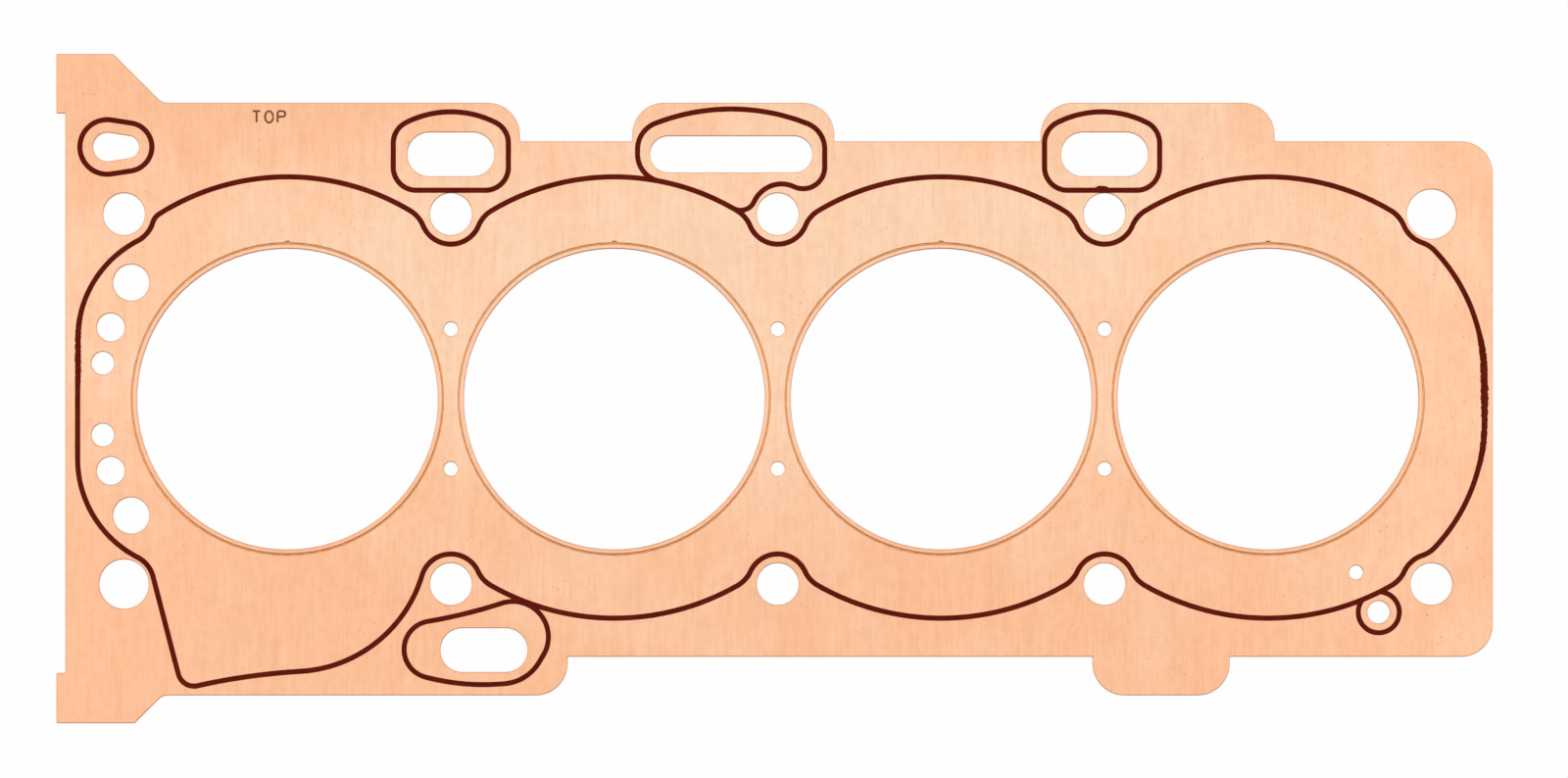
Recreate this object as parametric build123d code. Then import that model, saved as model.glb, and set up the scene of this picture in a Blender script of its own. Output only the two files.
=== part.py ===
"""Copper head gasket for an inline-four engine, with a loose ring in each bore and printed sealing beads.

X runs along the crankshaft with the front of the engine at -X, Y runs across it, and Z points to the head.
The origin is the centre of the head-bolt pattern, on the face that meets the block. Sizes are in millimetres.
"""
import cmath
import math
import os

from build123d import *

os.makedirs("parts", exist_ok=True)

# Plate and cylinder bores
CYLINDERS = 4
PLATE_T = 1.1
BORE_D = 86.5
RING_WALL = 1.4
SEAM = 0.25
BRIDGE = 4.2
SEAM_NOTCH_W = 1.1
SEAM_NOTCH_DEPTH = 0.4

# Head bolts and dowels
BOLT_SPAN_Y = 106.4
BOLT_HOLE_D = 12.0
DOWEL_HOLE_D = 14.2

# Plate outline, measured out from the bolt pattern
SIDE_MARGIN = 20.95
FRONT_MARGIN = 16.9
REAR_MARGIN = 17.66
TAB_REACH = 11.1
TAB_CORNER = 9.2
END_CORNER = 9.2
FRONT_TAB_UPPER_END = 19.85
MIDDLE_TAB_FRONT_MARGIN = 1.6
MIDDLE_TAB_REAR_MARGIN = 2.8
REAR_TAB_FRONT = 18.4
REAR_TAB_REAR = 48.9
LOWER_TAB_FRONT = 3.5
LOWER_TAB_REAR = 36.0
FRONT_TAB_LOWER_END = 33.6

# Ears at the front corners
EAR_STEP = 2.55
EAR_FOOT_ROUND = 4.0
UPPER_EAR_RISE = 14.0
UPPER_EAR_LENGTH = 16.4
UPPER_EAR_DROP = 3.1
LOWER_EAR_RISE = 8.0
LOWER_EAR_LENGTH = 22.5
LOWER_EAR_DROP = 6.5

# Oil and water passages, with the drains and the oil hole measured out from the jacket bead
DRAIN_LENGTH = 25.0
DRAIN_W = 12.6
UPPER_DRAIN_OUT = 6.5
LOWER_DRAIN_OUT = 17.4821
LOWER_DRAIN_REARWARD = 9.5
GALLERY_LENGTH = 46.6
GALLERY_W = 10.4
GALLERY_FORWARD = 13.4
FEED_LARGE_D = 8.2
FEED_SMALL_D = 6.4
FEED_CENTRES = 5.9
FEED_FORWARD = 4.8
FEED_OUT = 19.3
COOLANT_LAND = 5.95
COOLANT_LARGE_D = 10.4
COOLANT_LARGE_ANGLE = 36.7
COOLANT_MIDDLE_D = 8.0
COOLANT_MIDDLE_ANGLE = 22.1
COOLANT_SMALL_D = 6.5
COOLANT_SMALL_ANGLE = 11.0
STEAM_HOLE_D = 4.0
STEAM_SPAN_Y = 40.2
REAR_STEAM_FORWARD = 21.7
REAR_STEAM_INWARD = 3.3
OIL_HOLE_D = 6.4
OIL_HOLE_FORWARD = 15.2
OIL_HOLE_OUT = 5.1975

# Printed beads
BEAD_W = 1.45
BEAD_H = 0.13
BOLT_LAND = 2.65
SHOULDER_ROUND = 9.0
SHOULDER_DEPTH = 0.85
UPPER_CROWN_INSET = 10.25
LOWER_CROWN_INSET = 11.15
REAR_INSET = 2.6
REAR_STRAIGHT = 14.0
REAR_SWEEP_LAND = 1.15
FRONT_INSET = 3.6
FRONT_SWEEP = 31.9
FRONT_SHOULDER_ROUND = 4.7
POCKET_REARWARD = 16.5
POCKET_INSET = 2.9
POCKET_CORNER = 4.65
POCKET_RISE = 7.6
POCKET_SWEEP = 38.9
DRAIN_LAND = 4.05
DRAIN_CROWN = 5.9
DRAIN_CROWN_BOW = 5.3
DRAIN_BEAD_ROUND = 6.6
GALLERY_LAND = 3.6
GALLERY_CROWN = 7.8
GALLERY_CROWN_BOW = 6.4
GALLERY_ROUND = 7.9
GALLERY_HEEL_ROUND = 6.2
GALLERY_RELIEF_REARWARD = 1.1
GALLERY_JOIN_ROUND = 4.3
LOWER_LOOP_TOP = 5.7821
LOWER_LOOP_TOP_HEADING = 194.5
LOWER_LOOP_TOP_SWEEP = 150.0
LOWER_LOOP_FOOT = 9.7
LOWER_LOOP_FOOT_HEADING = -5.4
LOWER_LOOP_REAR = 15.0
LOWER_LOOP_REAR_HEADING = 59.0
LOWER_LOOP_FRONT_ROUND = 8.6
LOWER_LOOP_HEEL_ROUND = 15.4
LOWER_LOOP_REAR_ROUND = 10.2
FEED_LAND = 3.75
OIL_HOLE_LAND = 2.7

# Places that follow from the sizes
bore_r = BORE_D / 2
ring_r = bore_r + RING_WALL
seat_r = ring_r + SEAM
pitch = 2 * seat_r + BRIDGE
bolt_y = BOLT_SPAN_Y / 2
cylinders = [(i - (CYLINDERS - 1) / 2) * pitch for i in range(CYLINDERS)]
columns = [(i - CYLINDERS / 2) * pitch for i in range(CYLINDERS + 1)]
front_column, second_column, middle_column = columns[0], columns[1], columns[CYLINDERS // 2]
fourth_column, rear_column = columns[-2], columns[-1]
edge_y = bolt_y + SIDE_MARGIN
tab_y = edge_y + TAB_REACH
front_x = front_column - FRONT_MARGIN
rear_x = rear_column + REAR_MARGIN
feed_at = complex(front_column - FEED_FORWARD, bolt_y + FEED_OUT)
upper_drain_y = edge_y - UPPER_CROWN_INSET + UPPER_DRAIN_OUT
gallery_x = middle_column - GALLERY_FORWARD
gallery_half = GALLERY_LENGTH / 2 + GALLERY_LAND


# Paths of tangent arcs and straights, run counter-clockwise with each point as a complex number
class Bend:
    """Circle that a path follows. A radius above zero turns left, one below zero turns right."""

    def __init__(self, centre, radius):
        self.centre = centre
        self.radius = radius

    def normal(self, round_centre, radius):
        """Direction to the left of the path where a round of this centre and radius touches it."""
        return (self.centre - round_centre) / (self.radius - radius)


class Run:
    """Straight that a path follows, through a point and along a heading in degrees."""

    def __init__(self, point, heading):
        self.point = point
        self.along = cmath.rect(1, math.radians(heading))

    def normal(self, round_centre, radius):
        """Direction to the left of the path, the same all along it."""
        return 1j * self.along


def round_centres(a, b, radius):
    """Each place where the centre of a round between two guides can lie."""
    if isinstance(a, Run) and isinstance(b, Run):
        start = a.point + radius * a.normal(0, radius)
        offset = b.point + radius * b.normal(0, radius) - start
        crossing = (offset / b.along).imag / (a.along / b.along).imag
        return [start + crossing * a.along]
    if isinstance(a, Bend) and isinstance(b, Bend):
        between = b.centre - a.centre
        reach_a = abs(a.radius - radius)
        reach_b = abs(b.radius - radius)
        along = (reach_a**2 - reach_b**2 + abs(between) ** 2) / (2 * abs(between))
        across = math.sqrt(reach_a**2 - along**2)
        unit = between / abs(between)
        return [a.centre + unit * complex(along, side * across) for side in (1, -1)]
    run, bend = (a, b) if isinstance(a, Run) else (b, a)
    foot = (run.point + radius * run.normal(0, radius) - bend.centre) / run.along
    across = math.sqrt((bend.radius - radius) ** 2 - foot.imag**2)
    return [bend.centre + run.along * complex(side * across, foot.imag) for side in (1, -1)]


def join(a, b, radius):
    """Pieces of path between two guides: a round, or the bare point where a bend touches a run."""
    if radius is None:
        run, bend = (a, b) if isinstance(a, Run) else (b, a)
        touch = bend.centre - bend.radius * run.normal(0, 0)
        return touch, touch, []
    for centre in round_centres(a, b, radius):
        turn = cmath.phase(b.normal(centre, radius) / a.normal(centre, radius))
        if turn > 0:
            leave = centre - radius * a.normal(centre, radius)
            meet = centre - radius * b.normal(centre, radius)
            return leave, meet, [(Bend(centre, radius), leave, meet)]
    raise ValueError("no round fits between these guides")


def trace(guides):
    """Closed path along pairs of a guide and the radius that rounds it into the next guide."""
    joints = []
    for (guide, radius), (following, _) in zip(guides, guides[1:] + guides[:1]):
        joints.append(join(guide, following, radius))
    path = []
    for i, (guide, _) in enumerate(guides):
        path.append((guide, joints[i - 1][1], joints[i][0]))
        path.extend(joints[i][2])
    return path


def inside(path, outward=0.0):
    """Flat region inside a path that is moved outward by a distance."""
    edges = []
    for guide, start, end in path:
        if isinstance(guide, Run):
            shift = -outward * guide.normal(0, 0)
            first, last = start + shift, end + shift
            edges.append(Line((first.real, first.imag), (last.real, last.imag)))
            continue
        grow = 1 + outward / guide.radius
        arm = (start - guide.centre) * grow
        turn = cmath.phase((end - guide.centre) / (start - guide.centre))
        if turn * guide.radius < 0:
            turn += math.copysign(2 * math.pi, guide.radius)
        stops = [guide.centre + arm * cmath.exp(1j * turn * share) for share in (0, 0.5, 1)]
        edges.append(ThreePointArc(*[(stop.real, stop.imag) for stop in stops]))
    return make_face(edges)


def bowed(half_span, bow):
    """Radius of an arc that drops by its bow at each end of its span."""
    return (bow**2 + half_span**2) / (2 * bow)


def spot(point, shape):
    """Shape placed at a complex point of the plate."""
    return Pos(point.real, point.imag) * shape


# Guides of the jacket bead at the bolts and over the cylinders
relief_r = BOLT_HOLE_D / 2 + BOLT_LAND
shoulder_y = bolt_y - relief_r + SHOULDER_DEPTH


def relief(column, side):
    """Guide that passes a bolt hole on its inner side."""
    return Bend(complex(column, side * bolt_y), -relief_r)


def crown(number, side):
    """Guide over one cylinder, which meets its neighbours at the bolts."""
    peak = edge_y - (UPPER_CROWN_INSET if side > 0 else LOWER_CROWN_INSET)
    radius = bowed(pitch / 2, peak - shoulder_y)
    return Bend(complex(cylinders[number], side * (peak - radius)), radius)


def beyond(guide, x, out):
    """Place at x on the lower side of the plate, outside a guide by a distance."""
    drop = math.sqrt((guide.radius + out) ** 2 - (x - guide.centre.real) ** 2)
    return complex(x, guide.centre.imag - drop)


lower_drain_at = beyond(crown(1, -1), second_column + LOWER_DRAIN_REARWARD, LOWER_DRAIN_OUT)
oil_hole_at = beyond(crown(CYLINDERS - 1, -1), rear_column - OIL_HOLE_FORWARD, OIL_HOLE_OUT)


# Outline of the plate with its tabs and ears
def tab(first_x, last_x, side):
    """Corners of one tab on the upper or lower edge, each with its round."""
    corner = min(TAB_CORNER, 0.9 * TAB_REACH)
    return [
        (first_x, side * edge_y, 0),
        (first_x, side * tab_y, corner),
        (last_x, side * tab_y, corner),
        (last_x, side * edge_y, 0),
    ]


def ear(side, rise, length, drop):
    """Corners of the ear at the front end of one edge, from the front edge to the tab beside it."""
    ear_x = front_x - EAR_STEP
    return [
        (front_x, side * (tab_y - drop), 0),
        (ear_x, side * (tab_y - drop), 0),
        (ear_x, side * (tab_y + rise), 0),
        (ear_x + length, side * (tab_y + rise), 0),
        (ear_x + length + rise, side * tab_y, EAR_FOOT_ROUND),
    ]


upper_front_tab = tab(front_x, second_column + FRONT_TAB_UPPER_END, 1)[2:]
lower_front_tab = tab(second_column + FRONT_TAB_LOWER_END, front_x, -1)[:2]
corners = ear(1, UPPER_EAR_RISE, UPPER_EAR_LENGTH, UPPER_EAR_DROP) + upper_front_tab
middle_tab_front = gallery_x - gallery_half - MIDDLE_TAB_FRONT_MARGIN
middle_tab_rear = gallery_x + gallery_half + MIDDLE_TAB_REAR_MARGIN
corners += tab(middle_tab_front, middle_tab_rear, 1)
corners += tab(fourth_column - REAR_TAB_FRONT, fourth_column + REAR_TAB_REAR, 1)
corners += [(rear_x, edge_y, END_CORNER), (rear_x, -edge_y, END_CORNER)]
corners += tab(fourth_column + LOWER_TAB_REAR, fourth_column - LOWER_TAB_FRONT, -1)
corners += lower_front_tab
corners += ear(-1, LOWER_EAR_RISE, LOWER_EAR_LENGTH, LOWER_EAR_DROP)[::-1]
outline = FilletPolyline(*[(x, y) for x, y, _ in corners], radius=[r for _, _, r in corners], close=True)


# Holes through the plate
def tapered_slot(land):
    """Path round the oil feed, at a distance from the edge of its hole."""
    large, small = FEED_LARGE_D / 2 + land, FEED_SMALL_D / 2 + land
    lean = math.degrees(math.asin((large - small) / FEED_CENTRES))
    front, rear = feed_at, feed_at + FEED_CENTRES
    guides = [(Bend(front, large), None), (Run(front, lean), None)]
    guides += [(Bend(rear, small), None), (Run(rear, 180 - lean), None)]
    return trace(guides)


dowel_spots = [(front_column, -bolt_y), (rear_column, bolt_y)]
bolt_spots = [(x, side * bolt_y) for x in columns for side in (1, -1)]
bolt_spots = [at for at in bolt_spots if at not in dowel_spots]
steam_spots = [(x, side * STEAM_SPAN_Y / 2) for x in columns[1:-1] for side in (1, -1)]
steam_spots.append((rear_column - REAR_STEAM_FORWARD, -bolt_y + REAR_STEAM_INWARD))

flat = make_face(outline)
flat -= [Pos(x, 0) * Circle(seat_r) for x in cylinders]
flat -= [Pos(x, seat_r) * Rectangle(SEAM_NOTCH_W, 2 * SEAM_NOTCH_DEPTH) for x in cylinders]
flat -= [Pos(*at) * Circle(BOLT_HOLE_D / 2) for at in bolt_spots]
flat -= [Pos(*at) * Circle(DOWEL_HOLE_D / 2) for at in dowel_spots]
flat -= [Pos(*at) * Circle(STEAM_HOLE_D / 2) for at in steam_spots]
flat -= [Pos(x, upper_drain_y) * SlotOverall(DRAIN_LENGTH, DRAIN_W) for x in (second_column, fourth_column)]
flat -= Pos(gallery_x, upper_drain_y) * SlotOverall(GALLERY_LENGTH, GALLERY_W)
flat -= spot(lower_drain_at, SlotOverall(DRAIN_LENGTH, DRAIN_W))
flat -= spot(oil_hole_at, Circle(OIL_HOLE_D / 2))
flat -= inside(tapered_slot(0))
coolant_holes = [(COOLANT_LARGE_D, COOLANT_LARGE_ANGLE), (COOLANT_MIDDLE_D, COOLANT_MIDDLE_ANGLE)]
coolant_holes.append((COOLANT_SMALL_D, COOLANT_SMALL_ANGLE))
for diameter, angle in coolant_holes:
    arm = cmath.rect(seat_r + COOLANT_LAND + diameter / 2, math.radians(180 - angle))
    for at in (arm, arm.conjugate()):
        flat -= spot(cylinders[0] + at, Circle(diameter / 2))

# Plate, with a loose combustion ring in each bore
nodes = {"copper_plate": extrude(flat, PLATE_T)}
ring = extrude(Circle(ring_r) - Circle(bore_r), PLATE_T)
nodes["combustion_rings"] = Compound(children=[Pos(x, 0) * ring for x in cylinders])

# Path of the jacket bead
def rear_sweep(side):
    """Guide round one corner of the rear end, from the straight there to a land inside the bolt hole."""
    past_bolt = rear_x - REAR_INSET - rear_column
    above = bolt_y - REAR_STRAIGHT / 2
    reach = BOLT_HOLE_D / 2 + REAR_SWEEP_LAND
    radius = (past_bolt**2 + above**2 - reach**2) / (2 * (past_bolt + reach))
    return Bend(complex(rear_x - REAR_INSET - radius, side * REAR_STRAIGHT / 2), radius)


pocket = complex(front_column + POCKET_REARWARD, -tab_y + POCKET_INSET)
dowel_relief = relief(front_column, -1)
to_pocket = pocket - dowel_relief.centre
slope = math.degrees(cmath.phase(to_pocket) + math.asin(relief_r / abs(to_pocket)))

jacket = [(Run(complex(rear_x - REAR_INSET, 0), 90), None), (rear_sweep(1), SHOULDER_ROUND)]
for number in reversed(range(CYLINDERS)):
    jacket.append((relief(columns[number + 1], 1), SHOULDER_ROUND))
    jacket.append((crown(number, 1), SHOULDER_ROUND if number else FRONT_SHOULDER_ROUND))
jacket.append((relief(front_column, 1), FRONT_SWEEP))
jacket.append((Run(complex(front_x + FRONT_INSET, 0), 270), FRONT_SWEEP))
jacket += [(dowel_relief, None), (Run(pocket, slope), POCKET_CORNER)]
jacket.append((Run(pocket, POCKET_RISE), POCKET_SWEEP))
for number in range(1, CYLINDERS):
    jacket.append((relief(columns[number], -1), SHOULDER_ROUND))
    jacket.append((crown(number, -1), SHOULDER_ROUND))
jacket += [(relief(rear_column, -1), SHOULDER_ROUND), (rear_sweep(-1), None)]
jacket_path = trace(jacket)

# Paths of the loops that run into the jacket bead
shared = crown(CYLINDERS // 2 - 1, 1)
gallery_bend_r = bowed(gallery_half, GALLERY_CROWN_BOW)
gallery_bend_y = upper_drain_y + GALLERY_W / 2 + GALLERY_CROWN - gallery_bend_r
gallery_path = trace(
    [
        (Bend(shared.centre, -shared.radius), GALLERY_JOIN_ROUND),
        (relief(middle_column + GALLERY_RELIEF_REARWARD, 1), GALLERY_HEEL_ROUND),
        (Run(complex(gallery_x + gallery_half, 0), 90), GALLERY_ROUND),
        (Bend(complex(gallery_x, gallery_bend_y), gallery_bend_r), GALLERY_ROUND),
        (Run(complex(gallery_x - gallery_half, 0), 270), GALLERY_ROUND),
    ]
)


def beside_drain(distance, heading):
    """Straight that passes the lower drain slot at a distance from its centre."""
    return Run(lower_drain_at + distance * cmath.rect(1, math.radians(heading - 90)), heading)


loop_top = LOWER_DRAIN_OUT - LOWER_LOOP_TOP
sweep_centre = beside_drain(loop_top + LOWER_LOOP_TOP_SWEEP, LOWER_LOOP_TOP_HEADING).point
lower_drain_path = trace(
    [
        (Bend(sweep_centre, -LOWER_LOOP_TOP_SWEEP), LOWER_LOOP_FRONT_ROUND),
        (beside_drain(LOWER_LOOP_FOOT, LOWER_LOOP_FOOT_HEADING), LOWER_LOOP_HEEL_ROUND),
        (beside_drain(LOWER_LOOP_REAR, LOWER_LOOP_REAR_HEADING), LOWER_LOOP_REAR_ROUND),
    ]
)


# Paths of the loops that stand alone
def drain_path(x):
    """Path round one upper drain slot, with a crowned outer side."""
    low = upper_drain_y - DRAIN_W / 2 - DRAIN_LAND
    half = DRAIN_LENGTH / 2 + DRAIN_LAND
    bend_r = bowed(half, DRAIN_CROWN_BOW)
    bend_y = upper_drain_y + DRAIN_W / 2 + DRAIN_CROWN - bend_r
    return trace(
        [
            (Run(complex(x, low), 0), DRAIN_BEAD_ROUND),
            (Run(complex(x + half, 0), 90), DRAIN_BEAD_ROUND),
            (Bend(complex(x, bend_y), bend_r), DRAIN_BEAD_ROUND),
            (Run(complex(x - half, 0), 270), DRAIN_BEAD_ROUND),
        ]
    )


# Beads, printed on the head face
def bead(*paths):
    """Bead along paths that run into each other."""
    band = Sketch() + [inside(path, BEAD_W / 2) for path in paths]
    band -= [inside(path, -BEAD_W / 2) for path in paths]
    return Pos(0, 0, PLATE_T) * extrude(band, BEAD_H)


oil_ring = Bend(oil_hole_at, OIL_HOLE_D / 2 + OIL_HOLE_LAND)
oil_ring_ends = (oil_hole_at + oil_ring.radius, oil_hole_at - oil_ring.radius)
oil_ring_path = [(oil_ring, *oil_ring_ends), (oil_ring, *oil_ring_ends[::-1])]
nodes["jacket_bead"] = bead(jacket_path, gallery_path, lower_drain_path, oil_ring_path)
passage_paths = [tapered_slot(FEED_LAND), drain_path(second_column), drain_path(fourth_column)]
nodes["passage_beads"] = Compound(children=[bead(path) for path in passage_paths])

for name, shape in nodes.items():
    shape.label = name
    export_step(shape, f"parts/{name}.step")
    print(f"{name}: {len(shape.solids())} solids, {shape.volume:.2f} mm3, valid {shape.is_valid}")
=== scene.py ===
"""Dressed scene of a copper head gasket: rolled plate, loose bore rings and printed sealing beads.

Lengths are in millimetres until a mesh is made, where MM turns them into metres. X runs along the crankshaft
with the front of the engine at -X, Y runs across it, and Z points to the head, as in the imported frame.
"""
import cmath
import logging
import math
from dataclasses import dataclass, field
from enum import Enum
from typing import Any, ClassVar

import bmesh
import bpy
import numpy as np
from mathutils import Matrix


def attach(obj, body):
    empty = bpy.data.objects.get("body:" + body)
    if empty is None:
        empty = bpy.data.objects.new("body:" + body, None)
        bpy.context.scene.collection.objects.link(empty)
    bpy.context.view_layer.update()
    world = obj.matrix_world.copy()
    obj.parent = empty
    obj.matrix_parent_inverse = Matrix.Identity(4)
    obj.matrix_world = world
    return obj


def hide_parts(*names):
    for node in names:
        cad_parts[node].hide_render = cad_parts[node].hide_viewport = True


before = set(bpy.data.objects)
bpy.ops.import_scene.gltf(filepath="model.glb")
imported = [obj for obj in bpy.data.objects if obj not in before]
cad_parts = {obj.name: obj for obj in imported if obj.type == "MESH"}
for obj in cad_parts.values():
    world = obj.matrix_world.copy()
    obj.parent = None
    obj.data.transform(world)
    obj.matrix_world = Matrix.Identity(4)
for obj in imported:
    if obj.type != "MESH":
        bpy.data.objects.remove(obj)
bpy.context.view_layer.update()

MM = 0.001
SEED = 4117
NO_LENGTH = 1e-9
SAME_POINT = 1e-8
BUMP_DEPTH = 2e-5
log = logging.getLogger("head_gasket")

Colour = tuple[float, float, float, float]
Size = tuple[float, float, float]
Surface = tuple[np.ndarray, np.ndarray]


class Slot(Enum):
    """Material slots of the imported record."""

    PLATE = "copper"
    RINGS = "ring_copper"
    BEADS = "bead"


class Side(Enum):
    """The two long sides of the gasket."""

    UPPER = 1
    LOWER = -1


# Guides of tangent arcs and straights, with each point of the plate as a complex number
@dataclass(frozen=True)
class Bend:
    """Circle that a path follows; a radius above zero turns left, one below zero turns right."""

    centre: complex
    radius: float

    def normal(self, round_centre: complex, radius: float) -> complex:
        """Direction to the left of the path where a round of this centre and radius touches it."""
        return (self.centre - round_centre) / (self.radius - radius)


@dataclass(frozen=True)
class Run:
    """Straight that a path follows, through a point and along a heading in degrees."""

    point: complex
    heading: float

    @property
    def along(self) -> complex:
        """Unit step along the straight."""
        return cmath.rect(1, math.radians(self.heading))

    def normal(self, round_centre: complex, radius: float) -> complex:
        """Direction to the left of the path, the same all along it."""
        return 1j * self.along


Guide = Bend | Run
Stretch = tuple[Guide, complex, complex]


class Route:
    """Closed path that follows guides one after another, with a tangent round between neighbours."""

    def __init__(self, guides: list[tuple[Guide, float | None]]) -> None:
        """Works out every stretch of the path, and leaves out those of no length.

        Args:
            guides: each guide with the radius that rounds it into the next, or None where the two touch.
        """
        joints = [
            self.join(guide, following, radius)
            for (guide, radius), (following, _) in zip(guides, guides[1:] + guides[:1])
        ]
        stretches: list[Stretch] = []
        for i, (guide, _) in enumerate(guides):
            stretches.append((guide, joints[i - 1][1], joints[i][0]))
            stretches.extend(joints[i][2])
        self.stretches = [stretch for stretch in stretches if abs(stretch[2] - stretch[1]) > NO_LENGTH]

    @staticmethod
    def round_centres(a: Guide, b: Guide, radius: float) -> list[complex]:
        """Finds where the centre of a round between two guides can lie.

        Each guide is moved to the left by the radius of the round, and the moved guides are crossed.

        Args:
            a: guide before the round.
            b: guide after the round.
            radius: signed radius of the round.

        Returns:
            One crossing for two straights, otherwise two.
        """
        if isinstance(a, Run) and isinstance(b, Run):
            start = a.point + radius * a.normal(0, radius)
            offset = b.point + radius * b.normal(0, radius) - start
            return [start + (offset / b.along).imag / (a.along / b.along).imag * a.along]
        if isinstance(a, Bend) and isinstance(b, Bend):
            between = b.centre - a.centre
            reach_a, reach_b = abs(a.radius - radius), abs(b.radius - radius)
            along = (reach_a**2 - reach_b**2 + abs(between) ** 2) / (2 * abs(between))
            across = math.sqrt(reach_a**2 - along**2)
            return [a.centre + between / abs(between) * complex(along, s * across) for s in (1, -1)]
        run, bend = (a, b) if isinstance(a, Run) else (b, a)
        foot = (run.point + radius * run.normal(0, radius) - bend.centre) / run.along
        across = math.sqrt((bend.radius - radius) ** 2 - foot.imag**2)
        return [bend.centre + run.along * complex(s * across, foot.imag) for s in (1, -1)]

    @classmethod
    def join(cls, a: Guide, b: Guide, radius: float | None) -> tuple[complex, complex, list[Stretch]]:
        """Joins two guides by a round, or at the bare point where a bend touches a straight.

        Args:
            a: guide before the joint.
            b: guide after the joint.
            radius: radius of the round, or None for a touch.

        Returns:
            The point that leaves a, the point that meets b, and the round between them.
        """
        if radius is None:
            run, bend = (a, b) if isinstance(a, Run) else (b, a)
            touch = bend.centre - bend.radius * run.normal(0, 0)
            return touch, touch, []
        for centre in cls.round_centres(a, b, radius):
            if cmath.phase(b.normal(centre, radius) / a.normal(centre, radius)) > 0:
                leave = centre - radius * a.normal(centre, radius)
                meet = centre - radius * b.normal(centre, radius)
                return leave, meet, [(Bend(centre, radius), leave, meet)]
        raise ValueError("no round fits between these guides")

    def sample(self, step: float) -> tuple[np.ndarray, np.ndarray]:
        """Places stations along the path.

        A straight is start + share * (end - start), and an arc is centre + arm * exp(i * turn * share), where
        the arm is start - centre. The left side of an arc points at its centre when it turns left.

        Args:
            step: greatest distance between stations.

        Returns:
            The stations and the unit steps to the left of the path, as complex arrays.
        """
        places, lefts = [], []
        for guide, start, end in self.stretches:
            if isinstance(guide, Run):
                share = self.shares(abs(end - start), step)
                places.append(start + share * (end - start))
                lefts.append(np.full(share.size, 1j * guide.along))
                continue
            turn = cmath.phase((end - guide.centre) / (start - guide.centre))
            if turn * guide.radius < 0:
                turn += math.copysign(2 * math.pi, guide.radius)
            share = self.shares(abs(turn * guide.radius), step)
            places.append(guide.centre + (start - guide.centre) * np.exp(1j * turn * share))
            lefts.append((guide.centre - places[-1]) / guide.radius)
        return np.concatenate(places), np.concatenate(lefts)

    @staticmethod
    def shares(length: float, step: float) -> np.ndarray:
        """Evenly spaced shares of a stretch, from its start to just short of its end."""
        count = max(1, math.ceil(length / step))
        return np.arange(count) / count


def bowed(half_span: float, bow: float) -> float:
    """Radius of an arc that drops by its bow at each end of its span."""
    return (bow**2 + half_span**2) / (2 * bow)


# Surfaces on a grid of two parameters
def sweep(
    places: np.ndarray, lefts: np.ndarray, across: np.ndarray, up: np.ndarray, closed: bool
) -> Surface:
    """Carries a profile along a path.

    The point at station i and profile place j is place(i) + across(i, j) * left(i), at the height up(i, j).
    The profile runs from the left over the top to the right, and closes on itself.

    Args:
        places: stations as complex numbers.
        lefts: unit steps to the left at the stations.
        across: distances to the left, stations by profile places.
        up: heights, stations by profile places.
        closed: whether the last station joins the first.

    Returns:
        The points as an array of rows in millimetres, and the faces as rows of four point numbers.
    """
    flat = places[:, None] + across * lefts[:, None]
    points = np.stack([flat.real, flat.imag, up], axis=-1).reshape(-1, 3)
    stations, width = across.shape
    i, j = np.meshgrid(np.arange(stations if closed else stations - 1), np.arange(width), indexing="ij")
    after, beside = (i + 1) % stations, (j + 1) % width
    faces = np.stack([i * width + j, i * width + beside, after * width + beside, after * width + j], axis=-1)
    return points, faces.reshape(-1, 4)


def make_piece(
    name: str, surfaces: list[Surface], material: bpy.types.Material
) -> bpy.types.Object:
    """Makes one object from swept surfaces and lets it ride on the gasket.

    Args:
        name: name of the piece.
        surfaces: pairs of points in millimetres and faces.
        material: finish of the piece.

    Returns:
        The new object, at the origin.
    """
    offsets = np.cumsum([0] + [len(points) for points, _ in surfaces])
    points = np.concatenate([points for points, _ in surfaces]) * MM
    faces = np.concatenate([rows + offset for (_, rows), offset in zip(surfaces, offsets)])
    mesh = bpy.data.meshes.new(name)
    mesh.from_pydata(points.tolist(), [], faces.tolist())
    merged = bmesh.new()
    merged.from_mesh(mesh)
    bmesh.ops.remove_doubles(merged, verts=merged.verts, dist=SAME_POINT)
    merged.to_mesh(mesh)
    merged.free()
    mesh.shade_smooth()
    mesh.materials.append(material)
    piece = bpy.data.objects.new(name, mesh)
    bpy.context.scene.collection.objects.link(piece)
    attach(piece, "root")
    log.info("%s: %d faces", name, len(mesh.polygons))
    return piece


# Shader trees
@dataclass(frozen=True)
class Noise:
    """Noise by the size of its features in millimetres, its finer layers and a shift that sets it apart."""

    size: Size
    detail: float
    offset: float = 0.0


@dataclass(frozen=True)
class Ramp:
    """Smooth step from a start to an end while a value goes from low to high."""

    low: float
    high: float
    start: float = 0.0
    end: float = 1.0


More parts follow.
